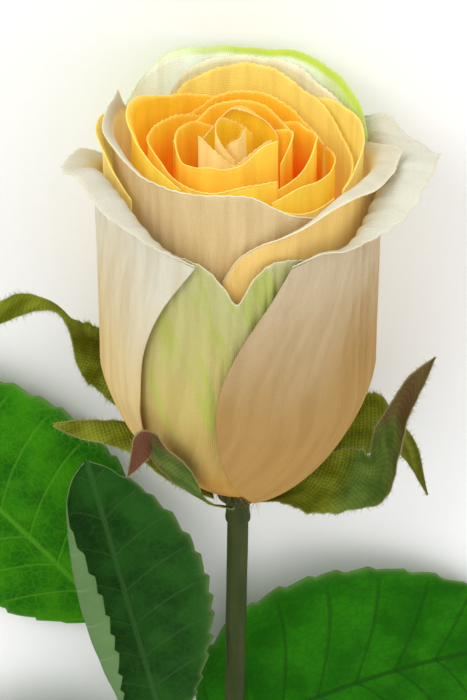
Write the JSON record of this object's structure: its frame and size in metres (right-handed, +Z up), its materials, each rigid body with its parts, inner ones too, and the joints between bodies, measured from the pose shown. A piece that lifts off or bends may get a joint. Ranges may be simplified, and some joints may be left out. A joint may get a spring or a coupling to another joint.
{
  "type": "artificial cut rose",
  "caption": "Artificial cut rose: half-open layered fabric head with fabric sepals on a wired plastic stem with leaf sprays, lying on a surface.",
  "frame": {"origin": "middle of the underside of the lying rose, on the surface it rests on", "axes": "+Y along the stem towards the flower head, +X to the head's right seen from above with the head up, +Z up from the surface"},
  "size_m": [0.1548, 0.3248, 0.0571],
  "materials": {
    "petal_peach": "woven polyester, matt, faint sheen, peach cream",
    "petal_cream": "woven polyester, matt, cream white",
    "petal_yellow": "woven polyester, matt, warm yellow",
    "petal_orange": "woven polyester, matt, orange yellow",
    "petal_green_tint": "woven polyester, matt, cream with a pale green dye",
    "sepal_fabric": "coarse woven fabric, olive green",
    "leaf_fabric": "printed and heat-pressed fabric, leaf green",
    "leaf_fabric_dark": "printed and heat-pressed fabric, dark green",
    "stem_plastic": "moulded polyethylene, olive green, satin",
    "wire_steel": "drawn iron wire",
    "foam_core": "foam bud former, cream"
  },
  "bodies": {
    "root": {"stem": "stem_plastic", "stem_wire": "wire_steel", "cup": "stem_plastic", "bud_core": "foam_core", "sepal_back_left": "sepal_fabric", "sepal_left": "sepal_fabric", "sepal_front_left": "sepal_fabric", "sepal_front_right": "sepal_fabric", "sepal_back_right": "sepal_fabric", "leaflet_left_end": "leaf_fabric", "leaflet_left_inner": "leaf_fabric_dark", "leaflet_left_outer": "leaf_fabric", "leaflet_right_end": "leaf_fabric", "leaflet_right_low": "leaf_fabric", "leaflet_cross_low": "leaf_fabric_dark", "rachis_left": "stem_plastic", "rachis_right": "stem_plastic", "petal_outer_left": "petal_peach", "petal_outer_right": "petal_peach", "petal_outer_back": "petal_green_tint", "petal_front": "petal_green_tint", "petal_left_strip": "petal_yellow", "petal_second_right": "petal_peach", "petal_second_back": "petal_cream", "petal_second_left": "petal_peach", "petal_right_gold": "petal_yellow", "petal_big_back": "petal_yellow", "petal_front_gold": "petal_yellow", "petal_inner_left": "petal_yellow", "petal_inner_back": "petal_orange", "petal_inner_right": "petal_yellow", "petal_inner_front": "petal_yellow", "petal_inner_right_low": "petal_orange", "petal_inner_back_low": "petal_orange", "petal_bud_left": "petal_yellow", "petal_bud_right": "petal_orange", "petal_bud_back": "petal_yellow", "petal_bud_front": "petal_yellow", "petal_heart_left": "petal_yellow", "petal_heart_right": "petal_yellow"}
  },
  "joints": []
}
